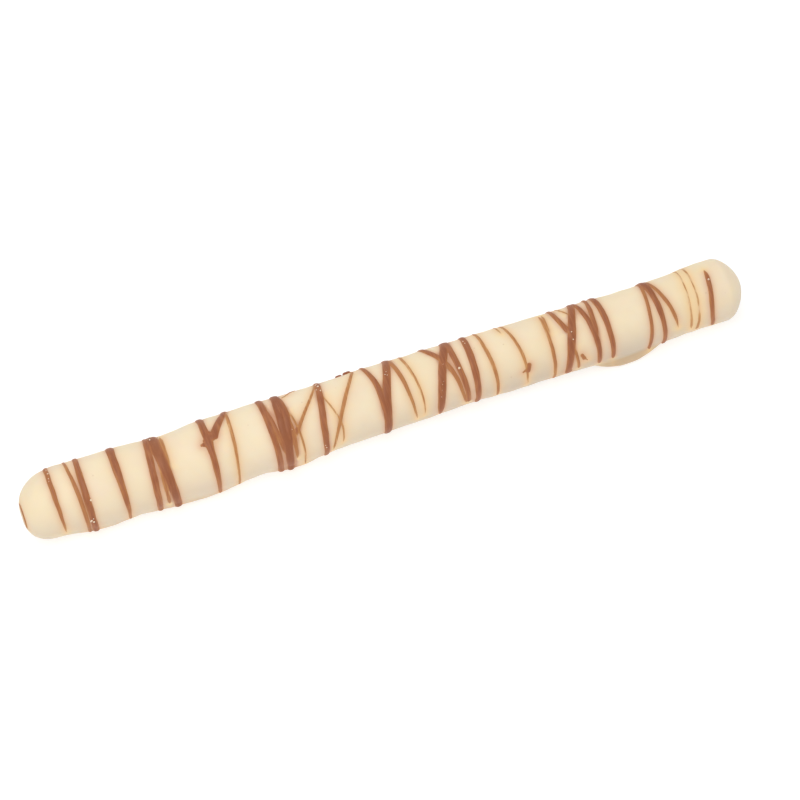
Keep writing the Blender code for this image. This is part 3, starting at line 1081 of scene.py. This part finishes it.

# %% [markdown]
# ## Specks of painted highlight
#
# The glints on the strands are painted highlights: small whitish pebbles, shaped like grains of
# white chocolate, stand where a lamp would glint off a strand. Scattering them at random would put
# them anywhere, but they lie in twos and threes near the top of a strand, so each has its place
# and turn on the skin.

# %% Where the highlight specks lie
# Painted highlights: each row puts a whitish speck where a glint would show on a strand.
GLINT_SPECKS = (
    # place, turn, size
    (9.4, 107, 0.24),
    (9.5, 96, 0.32),
    (9.3, 84, 0.28),
    (9.2, 79, 0.2),
    (17.7, 31, 0.55),
    (16.5, -4, 0.5),
    (16.9, -8, 0.4),
    (16.2, -7, 0.36),
    (17.0, -2, 0.3),
    (35.4, 121, 0.3),
    (36.3, 117, 0.24),
    (37.2, 122, 0.32),
    (36.6, 110, 0.34),
    (38.4, 113, 0.26),
    (71.6, 42, 0.22),
    (81.9, 116, 0.3),
    (82.0, 105, 0.42),
    (82.1, 92, 0.36),
    (81.6, 112, 0.28),
    (81.3, 98, 0.26),
    (79.1, -8, 0.24),
    (78.9, -3, 0.18),
    (99.9, 85, 0.22),
    (99.3, 80, 0.26),
    (99.8, 78, 0.2),
    (112.2, 24, 0.16),
    (112.7, 33, 0.14),
    (114.6, 66, 0.13),
    (111.6, 13, 0.13),
    (113.2, 37, 0.12),
    (118.3, 50, 0.55),
    (122.1, 101, 0.24),
    (122.3, 94, 0.2),
    (149.5, 54, 0.28),
    (149.3, 41, 0.32),
    (189.5, 66, 0.48),
)
print(len(GLINT_SPECKS), "crumbs, the largest", max(size for _, _, size in GLINT_SPECKS), "mm")

# %% [markdown]
# ## The shape of a speck
#
# Each is a small uneven pebble, made by pushing a ball in and out with its own waves, and partly
# sunk where it lies: its middle stands LIFTED times its size over the drizzle. All of them are one
# piece, because they are one kind of thing and too small to handle.

# %% The specks as one piece
BALL_ROWS, BALL_COLUMNS = 7, 10
UNEVEN = 0.3
LIFTED = 0.23
NUDGE = 0.01
SPECK_SEED = 31


def top_of_drizzle(place, turn):
    """The tallest drizzle over one spot of the skin, in mm. The turns beside it only serve to
    measure the slope of each strand."""
    walk, turns = np.array([[walk_to(place)]]), turn + np.array([[-NUDGE, 0.0, NUDGE]])
    groups = [group_parts(group, number, walk, turns) for number, group in enumerate(STRANDS)]
    return max(max(drizzle(parts)[0][0, 1] for parts in groups), 0.0)


def pebbles():
    """For each speck a ball of rows and columns, (sin row cos column, sin row sin column, cos
    row), times 1 + UNEVEN * sin(a random sum of the three), squashed and set on the drizzle."""
    rows = np.linspace(0, math.pi, BALL_ROWS)[1:-1, None]
    columns = np.linspace(0, 2 * math.pi, BALL_COLUMNS, endpoint=False)[None, :]
    ball = np.stack([
        np.sin(rows) * np.cos(columns),
        np.sin(rows) * np.sin(columns),
        np.cos(rows) + 0 * columns,
    ], axis=-1)
    ball, quads, fans = capped(ball, np.array([(0, 0, 1), (0, 0, -1)]))
    chance = np.random.default_rng(SPECK_SEED)
    points, shifts = [], np.arange(len(GLINT_SPECKS))[:, None, None] * len(ball)
    for place, turn, size in GLINT_SPECKS:
        walk, angle = np.array([[walk_to(place)]]), np.array([[math.radians(turn)]])
        push = 1 + UNEVEN * np.sin(ball @ chance.uniform(-3, 3, 3) + chance.uniform(0, 6))
        squash = chance.uniform(0.7, 1.25, 3)
        lift = top_of_drizzle(place, math.radians(turn)) + LIFTED * size
        centre = (skin(place_at(walk), angle) + normals(walk, angle) * lift)[0, 0]
        points.append(centre + ball * push[:, None] * squash * size / 2)
    return np.concatenate(points), (quads + shifts).reshape(-1, 4), (fans + shifts).reshape(-1, 3)


# Painted highlights: the specks are light in colour so that they read as glints on the strands.
highlight_speck = Finish("highlight_speck")
speck_light, speck_warm = linear(253, 240, 216), linear(246, 222, 190)
highlight_speck.set(
    Base_Color=highlight_speck.blend(highlight_speck.noise(0.5).step(0.35, 0.7), speck_light, speck_warm),
    Roughness=0.35 + highlight_speck.noise(0.2) * 0.2,
    Normal=highlight_speck.bump(highlight_speck.noise(0.15), 0.03),
)
new_piece("highlight_specks", *pebbles(), highlight_speck, "white_chocolate")

# %% [markdown]
# ## The floor
#
# The rod lies on a lit table: it glows, so the shadow under the rod all but fades away, light comes
# up against its lower side and the ground is white in the picture. A floor that only reflects would
# have to be lit so strongly that the cream burns out. It is marked as a stage, so it isn't part of
# the object.

# %% Floor
FLOOR_EDGE = 4000.0

paper = Finish("paper")
paper.set(
    Base_Color=paper.blend(paper.noise(90), linear(180, 180, 180), linear(178, 178, 177)),
    Roughness=0.75,
    Emission_Color=(1.0, 1.0, 1.0, 1.0),
    Emission_Strength=0.66,
)
floor_mesh = bpy.data.meshes.new("floor")
corners = np.array([(-1, -1, 0), (1, -1, 0), (1, 1, 0), (-1, 1, 0)]) * FLOOR_EDGE * MM / 2
floor_mesh.from_pydata(corners.tolist(), [], [(0, 1, 2, 3)])
floor_mesh.materials.append(paper.material)
floor = bpy.data.objects.new("floor", floor_mesh)
bpy.context.scene.collection.objects.link(floor)
floor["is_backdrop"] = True
print("floor", FLOOR_EDGE, "mm square")

# %% [markdown]
# ## Sizes
#
# The dressed rod has to stay the size of the solid it stands for.

# %% Compare the sizes and finish
dressed_box = [list(corner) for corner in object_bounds()]
for name, (low, high) in (("solid", cad_box), ("dressed", dressed_box)):
    print(name, [round((b - a) / MM, 2) for a, b in zip(low, high)], "mm")
